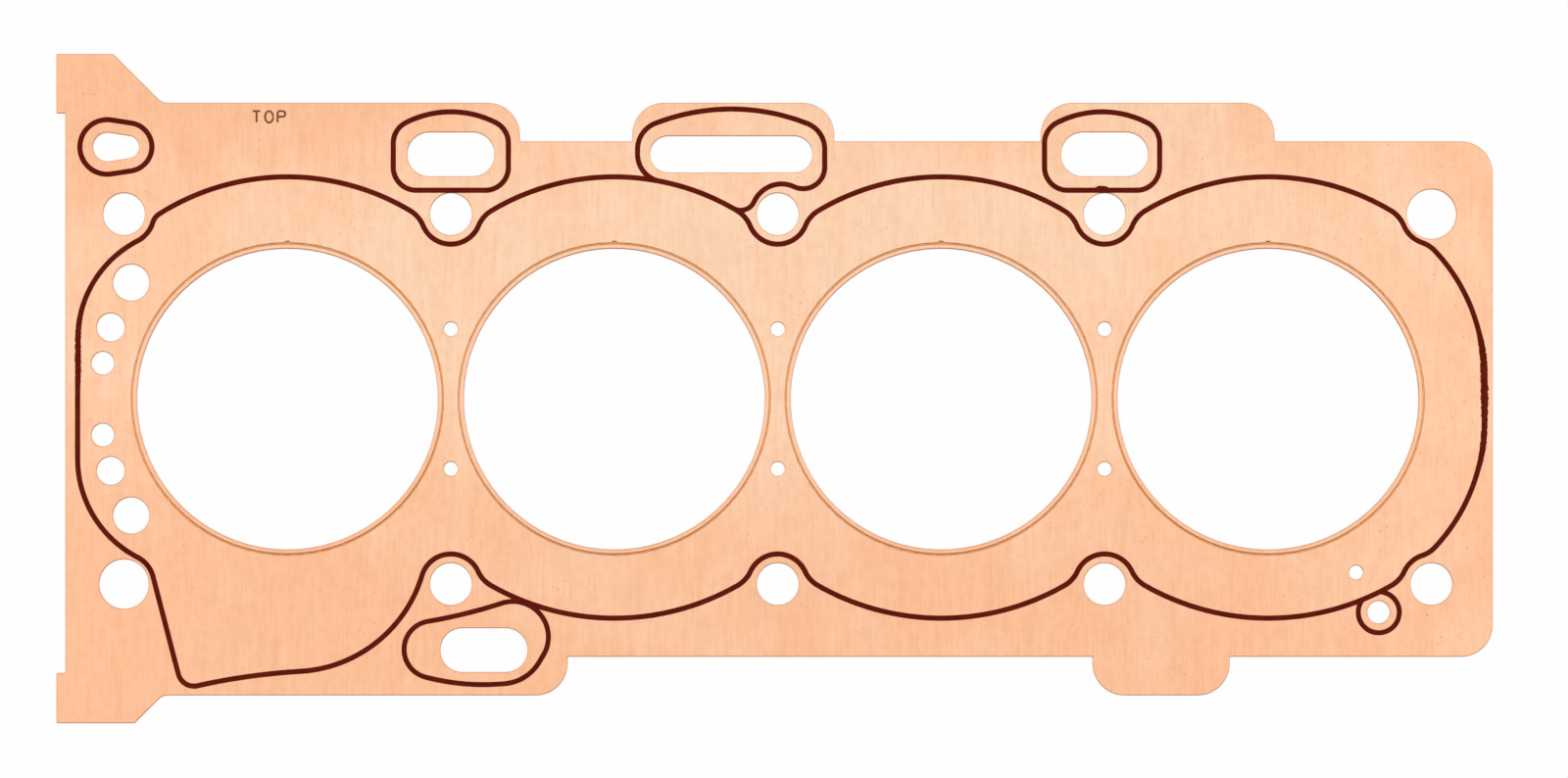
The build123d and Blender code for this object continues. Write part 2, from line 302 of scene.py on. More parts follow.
class Tree:
    """Small helper that adds nodes to a shader tree and links them."""

    noise_roughness: ClassVar[float] = 0.58

    def __init__(self, tree: bpy.types.NodeTree) -> None:
        """Empties the tree."""
        self.tree = tree
        tree.nodes.clear()

    def add(self, kind: str, values: dict[Any, Any] | None = None, **settings: Any) -> bpy.types.Node:
        """Adds a node.

        Args:
            kind: type of the node.
            values: constants or sockets for its inputs, by name or number.
            settings: properties of the node.

        Returns:
            The new node.
        """
        node = self.tree.nodes.new(kind)
        for key, value in settings.items():
            setattr(node, key, value)
        for key, value in (values or {}).items():
            if isinstance(value, bpy.types.NodeSocket):
                self.tree.links.new(value, node.inputs[key])
            else:
                node.inputs[key].default_value = value
        return node

    def maths(self, operation: str, *terms: Any, clamp: bool = False) -> bpy.types.NodeSocket:
        """Result of a sum, product or other operation on numbers and sockets."""
        node = self.add("ShaderNodeMath", dict(enumerate(terms)), operation=operation, use_clamp=clamp)
        return node.outputs[0]

    def mix(self, share: Any, first: Any, second: Any, blend: str = "MIX") -> bpy.types.NodeSocket:
        """Colour mixed from two colours by a share."""
        node = self.add("ShaderNodeMix", {0: share, 6: first, 7: second}, data_type="RGBA", blend_type=blend)
        return node.outputs[2]

    def ramp(self, value: bpy.types.NodeSocket, step: Ramp) -> bpy.types.NodeSocket:
        """Maps a value by a smooth step, without overshoot.

        Args:
            value: socket of the value.
            step: ranges of the value and of the result.

        Returns:
            The socket of the result.
        """
        ranges = {"From Min": step.low, "From Max": step.high, "To Min": step.start, "To Max": step.end}
        node = self.add("ShaderNodeMapRange", {"Value": value} | ranges, interpolation_type="SMOOTHSTEP")
        return node.outputs["Result"]

    def noise(self, spot: bpy.types.NodeSocket, kind: Noise) -> bpy.types.NodeSocket:
        """Adds a noise.

        Args:
            spot: socket of the coordinates.
            kind: sizes of the noise.

        Returns:
            The socket of the noise, from zero to one.
        """
        scale = tuple(1 / (length * MM) for length in kind.size)
        move = self.add("ShaderNodeMapping", {"Vector": spot, "Location": (kind.offset,) * 3, "Scale": scale})
        values = {"Vector": move.outputs[0], "Scale": 1.0, "Detail": kind.detail}
        return self.add("ShaderNodeTexNoise", values | {"Roughness": self.noise_roughness}).outputs["Fac"]


class EffectGroup:
    """Shader node group with named sockets, built once and placed in each material."""

    def __init__(self, name: str, inputs: dict[str, str], outputs: dict[str, str]) -> None:
        """Makes the group and its sockets.

        Args:
            name: name of the group.
            inputs: socket type by name.
            outputs: socket type by name.
        """
        self.group = bpy.data.node_groups.new(name, "ShaderNodeTree")
        self.tree = Tree(self.group)
        for direction, sockets in (("INPUT", inputs), ("OUTPUT", outputs)):
            for label, kind in sockets.items():
                self.group.interface.new_socket(name=label, in_out=direction, socket_type=kind)
        self.entry = self.tree.add("NodeGroupInput").outputs
        self.exit = self.tree.add("NodeGroupOutput").inputs

    def put(self, label: str, socket: bpy.types.NodeSocket) -> None:
        """Links a result to a named output."""
        self.group.links.new(socket, self.exit[label])

    def place(self, tree: Tree, values: dict[str, Any]) -> bpy.types.NodeOutputs:
        """Places the group in a material with its own values.

        Args:
            tree: tree of the material.
            values: constants for the group's inputs, by name.

        Returns:
            The outputs of the placed group.
        """
        node = tree.add("ShaderNodeGroup", node_tree=self.group)
        for label, value in values.items():
            node.inputs[label].default_value = value
        return node.outputs


class RolledCopper(EffectGroup):
    """Rolled copper sheet: grain along Y, soft patches and small stains, with a painted pool of light that
    keeps the middle pale and painted shade on the sheared edges.
    """

    fine_grain = Noise((0.55, 16.0, 16.0), 6.0)
    broad_grain = Noise((3.5, 90.0, 90.0), 3.0, 3.7)
    patches = Noise((24.0, 34.0, 34.0), 4.0, 9.1)
    clouds = Noise((2.2, 3.0, 3.0), 5.0, 31.0)
    specks = Noise((0.62, 0.8, 0.8), 1.0, 17.0)
    speck_crowds = Noise((16.0, 22.0, 22.0), 2.0, 23.0)
    # Painted pool of light: these keep the middle of the sheet pale, and the warm tone grows towards the ends
    # and sides.
    end_sheen_falloff = 12.0
    upper_sheen_falloff = Ramp(0.050, 0.085)
    upper_sheen_falloff_forward = Ramp(0.0, -0.16, 0.30, 0.80)
    lower_sheen_falloff = Ramp(0.015, -0.060)
    lower_sheen_falloff_rearward = Ramp(0.12, 0.20, 0.80, 0.30)
    patch_warmth = Ramp(0.34, 0.68, -0.18, 0.26)
    fine_shade = Ramp(0.30, 0.70, -0.5, 0.5)
    broad_shade = Ramp(0.35, 0.65, -0.2, 0.2)
    cloud_shade = Ramp(0.32, 0.68, -0.4, 0.4)
    grain_tint = (0.5, 0.9, 1.3)
    speck_edge = Ramp(0.72, 0.78)
    crowd_edge = Ramp(0.47, 0.60)
    crowd_rearward = Ramp(0.06, 0.20, 0.0, 0.08)
    speck_strength = 0.7
    speck_depth = 0.6
    # Painted shade on the sheared edges: faces that lean away from Z take the edge colour, most where they
    # face -Y, as if lit from +Y.
    edge_lean = Ramp(0.995, 0.94)
    edge_shade_by_facing = Ramp(0.1, -0.6, 0.32, 1.0)
    edge_roughness = 0.15
    fine_roughness = Ramp(0.25, 0.75, -0.06, 0.08)
    patch_roughness = Ramp(0.3, 0.7, -0.04, 0.06)

    def __init__(self) -> None:
        """Makes the group, which puts out Colour, Roughness and Height."""
        colour, value = "NodeSocketColor", "NodeSocketFloat"
        inputs = dict.fromkeys(("Pale", "Warm", "Stain", "Edge shade"), colour) | {"Grain": value, "Polish": value}
        super().__init__("rolled_copper", inputs, {"Colour": colour, "Roughness": value, "Height": value})
        t, entry = self.tree, self.entry
        self.spot = t.add("ShaderNodeTexCoord").outputs["Object"]
        self.axes = t.add("ShaderNodeSeparateXYZ", {0: self.spot}).outputs
        fine = t.noise(self.spot, self.fine_grain)
        patch = t.noise(self.spot, self.patches)
        # edge is the mask of the painted shade on the sheared edges.
        dots, edge = self.speck_mask(), self.edge_shade_mask()
        # Painted pool of light: the pale tone in the middle falls off to the warm tone at the ends and sides;
        # the patches are the copper's own.
        tone = t.mix(self.sheen_falloff_and_patches(patch), entry["Pale"], entry["Warm"])
        tone = t.mix(1.0, tone, self.grain_shade(fine), "MULTIPLY")
        tone = t.mix(t.maths("MULTIPLY", dots, self.speck_strength), tone, entry["Stain"])
        # Painted shade: the sheared edges take the dark edge colour.
        self.put("Colour", t.mix(edge, tone, entry["Edge shade"]))
        rough = t.maths("ADD", entry["Polish"], t.ramp(fine, self.fine_roughness))
        rough = t.maths("ADD", rough, t.ramp(patch, self.patch_roughness))
        self.put("Roughness", t.maths("ADD", rough, t.maths("MULTIPLY", edge, self.edge_roughness)))
        self.put("Height", t.maths("SUBTRACT", fine, t.maths("MULTIPLY", dots, self.speck_depth)))

    def sheen_falloff_and_patches(self, patch: bpy.types.NodeSocket) -> bpy.types.NodeSocket:
        """Share of the warm tone: least in the middle under a painted pool of light, more at the ends and
        sides where it falls off, and uneven by patches.

        Args:
            patch: socket of the patch noise.

        Returns:
            The socket of the share.
        """
        t, x, y = self.tree, self.axes["X"], self.axes["Y"]
        ends = t.maths("MULTIPLY", t.maths("POWER", t.maths("ABSOLUTE", x), 2.0), self.end_sheen_falloff)
        upper = t.maths("MULTIPLY", t.ramp(y, self.upper_sheen_falloff), t.ramp(x, self.upper_sheen_falloff_forward))
        lower = t.maths("MULTIPLY", t.ramp(y, self.lower_sheen_falloff), t.ramp(x, self.lower_sheen_falloff_rearward))
        sheen_falloff = t.maths("ADD", ends, t.maths("ADD", lower, upper))
        return t.maths("ADD", sheen_falloff, t.ramp(patch, self.patch_warmth), clamp=True)

    def grain_shade(self, fine: bpy.types.NodeSocket) -> bpy.types.NodeSocket:
        """Colour near white that darkens along the grain, most in blue.

        Args:
            fine: socket of the fine grain's noise.

        Returns:
            The socket of the colour, which multiplies the tone.
        """
        t = self.tree
        broad = t.noise(self.spot, self.broad_grain)
        cloud = t.noise(self.spot, self.clouds)
        lines = t.maths("ADD", t.ramp(fine, self.fine_shade), t.ramp(broad, self.broad_shade))
        lines = t.maths("ADD", lines, t.ramp(cloud, self.cloud_shade))
        depths = [t.maths("MULTIPLY", self.entry["Grain"], tint) for tint in self.grain_tint]
        shades = [t.maths("MULTIPLY_ADD", lines, depth, 1.0) for depth in depths]
        return t.add("ShaderNodeCombineColor", dict(enumerate(shades))).outputs[0]

    def speck_mask(self) -> bpy.types.NodeSocket:
        """Small specks, which gather in crowds and towards the rear end.

        Returns:
            The socket of their mask.
        """
        t = self.tree
        spots = t.ramp(t.noise(self.spot, self.specks), self.speck_edge)
        crowd = t.noise(self.spot, self.speck_crowds)
        crowd = t.maths("ADD", crowd, t.ramp(self.axes["X"], self.crowd_rearward))
        return t.maths("MULTIPLY", spots, t.ramp(crowd, self.crowd_edge))

    def edge_shade_mask(self) -> bpy.types.NodeSocket:
        """Painted shade on the sheared edges, which lean away from Z; darkest on those that face -Y, as if
        lit from +Y.

        Returns:
            The socket of their mask.
        """
        t = self.tree
        normal = t.add("ShaderNodeNewGeometry").outputs["True Normal"]
        facing = t.add("ShaderNodeSeparateXYZ", {0: normal}).outputs
        shade_by_facing = t.ramp(facing["Y"], self.edge_shade_by_facing)
        return t.maths("MULTIPLY", t.ramp(t.maths("ABSOLUTE", facing["Z"]), self.edge_lean), shade_by_facing)


@dataclass(frozen=True)
class CopperFinish:
    """Satin rolled copper, by its lightest and warmest tones."""

    name: str
    # pale is the tone of the painted pool of light in the middle; warm is the tone where it falls off towards
    # the ends and sides.
    pale: Colour
    warm: Colour
    stain: Colour
    # Colour of the painted shade on the sheared edges.
    edge: Colour
    grain: float
    polish: float
    bump: float = 0.35

    def material(self, group: RolledCopper) -> bpy.types.Material:
        """Makes the material from the shared rolled-copper group.

        Args:
            group: rolled-copper group.

        Returns:
            The new material.
        """
        made = bpy.data.materials.new(self.name)
        made.use_nodes = True
        t = Tree(made.node_tree)
        values = {"Pale": self.pale, "Warm": self.warm, "Stain": self.stain, "Edge shade": self.edge}
        sheet = group.place(t, values | {"Grain": self.grain, "Polish": self.polish})
        values = {"Height": sheet["Height"], "Strength": self.bump, "Distance": BUMP_DEPTH}
        bump = t.add("ShaderNodeBump", values)
        values = {"Base Color": sheet["Colour"], "Roughness": sheet["Roughness"], "Normal": bump.outputs[0]}
        metal = t.add("ShaderNodeBsdfPrincipled", values | {"Metallic": 1.0})
        t.add("ShaderNodeOutputMaterial", {"Surface": metal.outputs[0]})
        return made


@dataclass(frozen=True)
class PrintFinish:
    """Plain finish of a print, a wire or an etched mark, mottled between two tones."""

    name: str
    deep: Colour
    light: Colour
    mottle: float
    roughness: float
    metallic: float = 0.0
    specular: float = 0.06
    bump: float = 0.3
    coarseness: float = 9.0
    roughness_spread: float = 0.08
    coarse_tone: ClassVar[Ramp] = Ramp(0.3, 0.7, 0.0, 0.55)
    fine_tone: ClassVar[Ramp] = Ramp(0.3, 0.7, 0.0, 0.45)

    def material(self) -> bpy.types.Material:
        """Makes the material: two noises mix the tones, and the finer one lifts the surface.

        Returns:
            The new material.
        """
        made = bpy.data.materials.new(self.name)
        made.use_nodes = True
        t = Tree(made.node_tree)
        spot = t.add("ShaderNodeTexCoord").outputs["Object"]
        coarse = t.noise(spot, Noise((self.mottle * self.coarseness,) * 3, 3.0))
        fine = t.noise(spot, Noise((self.mottle,) * 3, 4.0, 5.3))
        share = t.maths("ADD", t.ramp(coarse, self.coarse_tone), t.ramp(fine, self.fine_tone))
        bump = t.add("ShaderNodeBump", {"Height": fine, "Strength": self.bump, "Distance": BUMP_DEPTH})
        least, most = self.roughness - self.roughness_spread, self.roughness + self.roughness_spread
        unevenness = Ramp(0.2, 0.8, least, most)
        values = {
            "Base Color": t.mix(share, self.deep, self.light),
            "Roughness": t.ramp(fine, unevenness),
            "Normal": bump.outputs[0],
            "Metallic": self.metallic,
            "Specular IOR Level": self.specular,
        }
        skin = t.add("ShaderNodeBsdfPrincipled", values)
        t.add("ShaderNodeOutputMaterial", {"Surface": skin.outputs[0]})
        return made


# Pale and warm carry the painted pool of light in the middle of the sheet.
PLATE_COPPER = CopperFinish(
    "plate_copper",
    pale=(0.933, 0.622, 0.422, 1),
    warm=(0.906, 0.497, 0.298, 1),
    stain=(0.38, 0.17, 0.08, 1),
    # Painted shade on the plate's sheared edges.
    edge=(0.44, 0.20, 0.09, 1),
    grain=0.10,
    polish=0.40,
)
RING_COPPER = CopperFinish(
    "ring_copper",
    pale=(0.933, 0.595, 0.395, 1),
    warm=(0.906, 0.500, 0.300, 1),
    stain=(0.40, 0.18, 0.09, 1),
    # Painted shade on the rings' sheared edges, which also darkens the seam.
    edge=(0.40, 0.105, 0.015, 1),
    grain=0.075,
    polish=0.36,
)
BEAD_PRINT = PrintFinish(
    "bead_print",
    deep=(0.090, 0.0040, 0.0003, 1),
    light=(0.155, 0.0095, 0.0012, 1),
    mottle=0.5,
    roughness=0.60,
)
# Painted shade: the wire takes the deep orange of light bounced between copper walls in the shaded seam.
SEAM_WIRE_SHADE = PrintFinish(
    "seam_wire_painted_shade",
    deep=(0.95, 0.38, 0.09, 1),
    light=(0.98, 0.46, 0.14, 1),
    mottle=0.6,
    roughness=0.45,
    metallic=1.0,
)
ETCHED_MARK = PrintFinish(
    "etched_mark",
    deep=(0.20, 0.060, 0.020, 1),
    light=(0.33, 0.115, 0.045, 1),
    mottle=0.4,
    roughness=0.60,
)


@dataclass
class GasketLayout:
    """Places that the plate, the rings and the beads share."""

    cylinders: int = 4
    plate_t: float = 1.1
    bore_d: float = 86.5
    ring_wall: float = 1.4
    seam: float = 0.25
    bridge: float = 4.2
    bolt_span_y: float = 106.4
    bolt_hole_d: float = 12.0
    side_margin: float = 20.95
    front_margin: float = 16.9
    rear_margin: float = 17.66
    tab_reach: float = 11.1
    drain_length: float = 25.0
    drain_w: float = 12.6
    upper_drain_out: float = 17.2
    lower_drain_out: float = 19.0
    lower_drain_rearward: float = 9.5
    gallery_length: float = 46.6
    gallery_w: float = 10.4
    gallery_forward: float = 13.4
    feed_large_d: float = 8.2
    feed_small_d: float = 6.4
    feed_centres: float = 5.9
    feed_forward: float = 4.8
    feed_out: float = 19.3
    oil_hole_d: float = 6.4
    oil_hole_forward: float = 15.2
    oil_hole_out: float = 8.1

    def __post_init__(self) -> None:
        """Works out the places that follow from the sizes."""
        self.seam_r = self.bore_d / 2 + self.ring_wall + self.seam / 2
        self.pitch = 2 * self.seam_r + self.seam + self.bridge
        self.bores = [(i - (self.cylinders - 1) / 2) * self.pitch for i in range(self.cylinders)]
        self.columns = [(i - self.cylinders / 2) * self.pitch for i in range(self.cylinders + 1)]
        self.bolt_y = self.bolt_span_y / 2
        self.edge_y = self.bolt_y + self.side_margin
        self.tab_y = self.edge_y + self.tab_reach
        self.front_x = self.columns[0] - self.front_margin
        self.rear_x = self.columns[-1] + self.rear_margin
        self.upper_drain_y = self.bolt_y + self.upper_drain_out
        self.gallery_x = self.columns[self.cylinders // 2] - self.gallery_forward
        self.feed_at = complex(self.columns[0] - self.feed_forward, self.bolt_y + self.feed_out)
        lower_drain_x = self.columns[1] + self.lower_drain_rearward
        self.lower_drain_at = complex(lower_drain_x, -self.bolt_y - self.lower_drain_out)
        oil_hole_x = self.columns[-1] - self.oil_hole_forward
        self.oil_hole_at = complex(oil_hole_x, -self.bolt_y - self.oil_hole_out)


@dataclass(frozen=True)
class Smear:
    """Place where the print spread: extra width to the left and right of the path, and a ragged edge."""

    at: complex
    reach: float
    left: float
    right: float
    ragged: float
    steepness: ClassVar[float] = 1.6

    def weight(self, places: np.ndarray) -> np.ndarray:
        """Share of the spread at each station: one near the place, falling smoothly to zero at its reach."""
        share = np.clip(self.steepness * (1 - np.abs(places - self.at) / self.reach), 0, 1)
        return share * share * (3 - 2 * share)


@dataclass
class PrintedBeads:
    """Raised sealing beads, printed on the head face along paths of tangent arcs."""

    layout: GasketLayout
    width: float = 1.54
    height: float = 0.13
    step: float = 0.3
    profile_points: int = 13
    wander: float = 0.022
    wander_reach: float = 3.0
    ragged_reach: float = 0.5
    gallery_fill: float = 0.985
    loop_fill: float = 0.97
    bolt_land: float = 2.65
    shoulder_round: float = 9.0
    shoulder_depth: float = 0.85
    upper_crown_inset: float = 10.25
    lower_crown_inset: float = 11.15
    rear_inset: float = 2.6
    rear_straight: float = 14.0
    rear_sweep_land: float = 1.15
    front_inset: float = 3.6
    front_sweep: float = 31.9
    front_shoulder_round: float = 4.7
    pocket_rearward: float = 16.5
    pocket_inset: float = 2.9
    pocket_corner: float = 4.65
    pocket_rise: float = 7.6
    pocket_floor: float = 185.0
    pocket_floor_middle: float = 20.7
    pocket_sweep: float = 38.9
    drain_land: float = 4.05
    drain_crown: float = 5.9
    drain_crown_bow: float = 5.3
    drain_round: float = 6.6
    rear_drain_drift: float = 0.75
    gallery_land: float = 3.6
    gallery_crown: float = 7.8
    gallery_crown_bow: float = 6.4
    gallery_round: float = 7.9
    gallery_heel_round: float = 6.2
    gallery_relief_rearward: float = 1.1
    gallery_join_round: float = 4.3
    lower_loop_top: float = 11.5
    lower_loop_top_heading: float = 194.75
    lower_loop_top_sweep: float = 150.0
    lower_loop_foot: float = 9.92
    lower_loop_foot_sweep: float = 66.0
    lower_loop_rear: float = 15.4
    lower_loop_rear_heading: float = 59.0
    lower_loop_front_round: float = 8.2
    lower_loop_heel_round: float = 12.7
    lower_loop_rear_round: float = 10.2
    feed_land: float = 3.75
    oil_hole_land: float = 2.7
    smears: tuple[Smear, ...] = (
        Smear(complex(203.1, 7.5), 13.0, 0.24, 0.28, 0.26),
        Smear(complex(203.1, -7.0), 15.0, 0.0, 0.28, 0.26),
        Smear(complex(-201.3, 14.0), 13.0, 0.20, 0.0, 0.20),
        Smear(complex(93.2, 60.05), 2.2, 0.5, 0.0, 0.05),
    )
    rng: np.random.Generator = field(default_factory=lambda: np.random.default_rng(SEED))

    def __post_init__(self) -> None:
        """Works out the sizes that several guides share."""
        self.relief_r = self.layout.bolt_hole_d / 2 + self.bolt_land

    def relief(self, x: float, side: Side) -> Bend:
        """Guide that passes a bolt hole on its inner side."""
        return Bend(complex(x, side.value * self.layout.bolt_y), -self.relief_r)

    def crown(self, number: int, side: Side) -> Bend:
        """Guide over one cylinder, which meets its neighbours at the bolts.

        Args:
            number: number of the cylinder, from zero at the front.
            side: long side that it runs along.

        Returns:
            The circle of the crown.
        """
        inset = self.upper_crown_inset if side is Side.UPPER else self.lower_crown_inset
        peak = self.layout.edge_y - inset
        shoulder_y = self.layout.bolt_y - self.relief_r + self.shoulder_depth
        radius = bowed(self.layout.pitch / 2, peak - shoulder_y)
        return Bend(complex(self.layout.bores[number], side.value * (peak - radius)), radius)

    def rear_sweep(self, side: Side) -> Bend:
        """Guide round one rear corner, tangent to the straight there and clear of the bolt hole.

        Args:
            side: long side that the corner ends.

        Returns:
            The circle of the corner.
        """
        past_bolt = self.layout.rear_x - self.rear_inset - self.layout.columns[-1]
        above = self.layout.bolt_y - self.rear_straight / 2
        reach = self.layout.bolt_hole_d / 2 + self.rear_sweep_land
        radius = (past_bolt**2 + above**2 - reach**2) / (2 * (past_bolt + reach))
        centre_x = self.layout.rear_x - self.rear_inset - radius
        return Bend(complex(centre_x, side.value * self.rear_straight / 2), radius)

    def jacket_route(self) -> Route:
        """Path of the jacket bead, counter-clockwise from the middle of the rear end.

        Returns:
            The closed path round all the cylinders.
        """
        lay, upper, lower = self.layout, Side.UPPER, Side.LOWER
        pocket = complex(lay.columns[0] + self.pocket_rearward, -lay.tab_y + self.pocket_inset)
        dowel = self.relief(lay.columns[0], lower)
        to_pocket = pocket - dowel.centre
        slope = math.degrees(cmath.phase(to_pocket) - math.asin(self.relief_r / abs(to_pocket)))
        rear_end = Run(complex(lay.rear_x - self.rear_inset, 0), 90)
        guides: list[tuple[Guide, float | None]] = [(rear_end, None)]
        guides.append((self.rear_sweep(upper), self.shoulder_round))
        for number in reversed(range(lay.cylinders)):
            guides.append((self.relief(lay.columns[number + 1], upper), self.shoulder_round))
            crown_round = self.shoulder_round if number else self.front_shoulder_round
            guides.append((self.crown(number, upper), crown_round))
        guides.append((self.relief(lay.columns[0], upper), self.front_sweep))
        guides.append((Run(complex(lay.front_x + self.front_inset, 0), 270), self.front_sweep))
        guides += [(dowel, None), (Run(pocket, slope), self.pocket_corner)]
        rise = cmath.rect(1, math.radians(self.pocket_rise))
        floor_centre = pocket + rise * complex(self.pocket_floor_middle, -self.pocket_floor)
        guides.append((Bend(floor_centre, -self.pocket_floor), self.pocket_sweep))
        for number in range(1, lay.cylinders):
            guides.append((self.relief(lay.columns[number], lower), self.shoulder_round))
            guides.append((self.crown(number, lower), self.shoulder_round))
        guides += [(self.relief(lay.columns[-1], lower), self.shoulder_round), (self.rear_sweep(lower), None)]
        return Route(guides)

    def gallery_route(self) -> Route:
        """Path round the middle drain slot, which shares one crown of the jacket bead.

        Returns:
            The closed path.
        """
        lay = self.layout
        half = lay.gallery_length / 2 + self.gallery_land
        shared = self.crown(lay.cylinders // 2 - 1, Side.UPPER)
        radius = bowed(half, self.gallery_crown_bow)
        centre_y = lay.upper_drain_y + lay.gallery_w / 2 + self.gallery_crown - radius
        heel = self.relief(lay.columns[lay.cylinders // 2] + self.gallery_relief_rearward, Side.UPPER)
        return Route(
            [
                (Bend(shared.centre, -shared.radius), self.gallery_join_round),
                (heel, self.gallery_heel_round),
                (Run(complex(lay.gallery_x + half, 0), 90), self.gallery_round),
                (Bend(complex(lay.gallery_x, centre_y), radius), self.gallery_round),
                (Run(complex(lay.gallery_x - half, 0), 270), self.gallery_round),
            ]
        )

    def beside_drain(self, distance: float, heading: float) -> Run:
        """Straight that passes the lower drain slot at a distance from its centre."""
        return Run(self.layout.lower_drain_at + cmath.rect(distance, math.radians(heading - 90)), heading)

    def lower_drain_route(self) -> Route:
        """Path round the lower drain slot, which runs into the jacket bead at its rear.

        Returns:
            The closed path.
        """
        reach = self.lower_loop_top + self.lower_loop_top_sweep
        top = Bend(self.beside_drain(reach, self.lower_loop_top_heading).point, -self.lower_loop_top_sweep)
        sag = complex(0, self.lower_loop_foot_sweep - self.lower_loop_foot)
        foot = Bend(self.layout.lower_drain_at + sag, self.lower_loop_foot_sweep)
        rear = self.beside_drain(self.lower_loop_rear, self.lower_loop_rear_heading)
        guides = [(top, self.lower_loop_front_round), (foot, self.lower_loop_heel_round)]
        return Route(guides + [(rear, self.lower_loop_rear_round)])

    def oil_hole_route(self) -> Route:
        """Circle round the oil hole, as four rounds between straights of no length.

        Returns:
            The closed path.
        """
        radius = self.layout.oil_hole_d / 2 + self.oil_hole_land
        sides = [(-1j, 0), (1, 90), (1j, 180), (-1, 270)]
        runs = [Run(self.layout.oil_hole_at + way * radius, heading) for way, heading in sides]
        return Route([(run, radius) for run in runs])

    def feed_route(self) -> Route:
        """Path round the tapered oil feed.

        Returns:
            The closed path.
        """
        lay = self.layout
        large, small = lay.feed_large_d / 2 + self.feed_land, lay.feed_small_d / 2 + self.feed_land
        lean = math.degrees(math.asin((large - small) / lay.feed_centres))
        rear = lay.feed_at + lay.feed_centres
        front_end = [(Bend(lay.feed_at, large), None), (Run(lay.feed_at, lean), None)]
        return Route(front_end + [(Bend(rear, small), None), (Run(rear, 180 - lean), None)])

    def drain_route(self, x: float) -> Route:
        """Path round one upper drain slot, with a crowned outer side.

        Args:
            x: place of the slot's middle along the gasket.

        Returns:
            The closed path.
        """
        lay = self.layout
        low = lay.upper_drain_y - lay.drain_w / 2 - self.drain_land
        half = lay.drain_length / 2 + self.drain_land
        radius = bowed(half, self.drain_crown_bow)
        crown = Bend(complex(x, lay.upper_drain_y + lay.drain_w / 2 + self.drain_crown - radius), radius)
        foot, rear, front = (complex(x, low), 0), (complex(x + half, 0), 90), (complex(x - half, 0), 270)
        sides = [Run(*foot), Run(*rear), crown, Run(*front)]
        return Route([(side, self.drain_round) for side in sides])

    def ragged(self, count: int, reach: float) -> np.ndarray:
        """Smooth closed random line: noise with waves shorter than the reach faded out, scaled to one.

        Args:
            count: number of stations.
            reach: length of the shortest waves kept.

        Returns:
            The line's value at each station.
        """
        waves = np.fft.rfft(self.rng.standard_normal(count))
        waves *= np.exp(-((np.arange(waves.size) * reach / (count * self.step)) ** 2))
        line = np.fft.irfft(waves, count)
        return line / np.abs(line).max()

    def strip(self, route: Route, fill: float = 1.0, beside: Bend | None = None) -> Surface:
        """Carries the low dome of a bead along a path.

        At a share u of the half width the dome is as high as height * (1 - |u|^3). Each edge stands at half
        the width plus a slow wander, and where the print spread it gains a wider, ragged margin. Where a loop
        would pass inside the crown of the jacket bead, its stations move out to the crown's radius.

        Args:
            route: path of the bead.
            fill: share of the full width and height.
            beside: crown of the jacket bead that the path stays outside of.

        Returns:
            Points and faces of the closed strip.
        """
        places, lefts = route.sample(self.step)
        if beside:
            arms = places - beside.centre
            inside = np.abs(arms) < beside.radius
            places = np.where(inside, beside.centre + arms / np.abs(arms) * beside.radius, places)
            lefts = np.where(inside, arms / np.abs(arms), lefts)
        edges = []
        for side in ("left", "right"):
            edge = self.width / 2 * fill + self.wander * self.ragged(places.size, self.wander_reach)
            rough = self.ragged(places.size, self.ragged_reach)
            for smear in self.smears:
                edge = edge + smear.weight(places) * (getattr(smear, side) + smear.ragged * rough)
            edges.append(edge)
        u = np.sin(np.linspace(1, -1, self.profile_points) * np.pi / 2)
        across = np.where(u > 0, edges[0][:, None], edges[1][:, None]) * u
        up = np.broadcast_to(self.layout.plate_t + self.height * fill * (1 - np.abs(u) ** 3), across.shape)
        return sweep(places, lefts, across, up, closed=True)

    def build(self, material: bpy.types.Material) -> None:
        """Makes the jacket print with its loops, and the three loops that stand alone.

        Args:
            material: finish of the print.
        """
        lay = self.layout
        drain_crown = self.crown(1, Side.LOWER)
        rear_crown = self.crown(lay.cylinders - 1, Side.LOWER)
        network = [self.strip(self.jacket_route()), self.strip(self.gallery_route(), self.gallery_fill)]
        network.append(self.strip(self.lower_drain_route(), self.loop_fill, drain_crown))
        network.append(self.strip(self.oil_hole_route(), self.loop_fill, rear_crown))
        jacket = make_piece("jacket_print", network, material)
        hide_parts("jacket_bead")
        rear_drain_x = lay.columns[-2] - self.rear_drain_drift
        loops = [self.feed_route(), self.drain_route(lay.columns[1]), self.drain_route(rear_drain_x)]
        passages = make_piece("passage_prints", [self.strip(loop) for loop in loops], material)
        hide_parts("passage_beads")


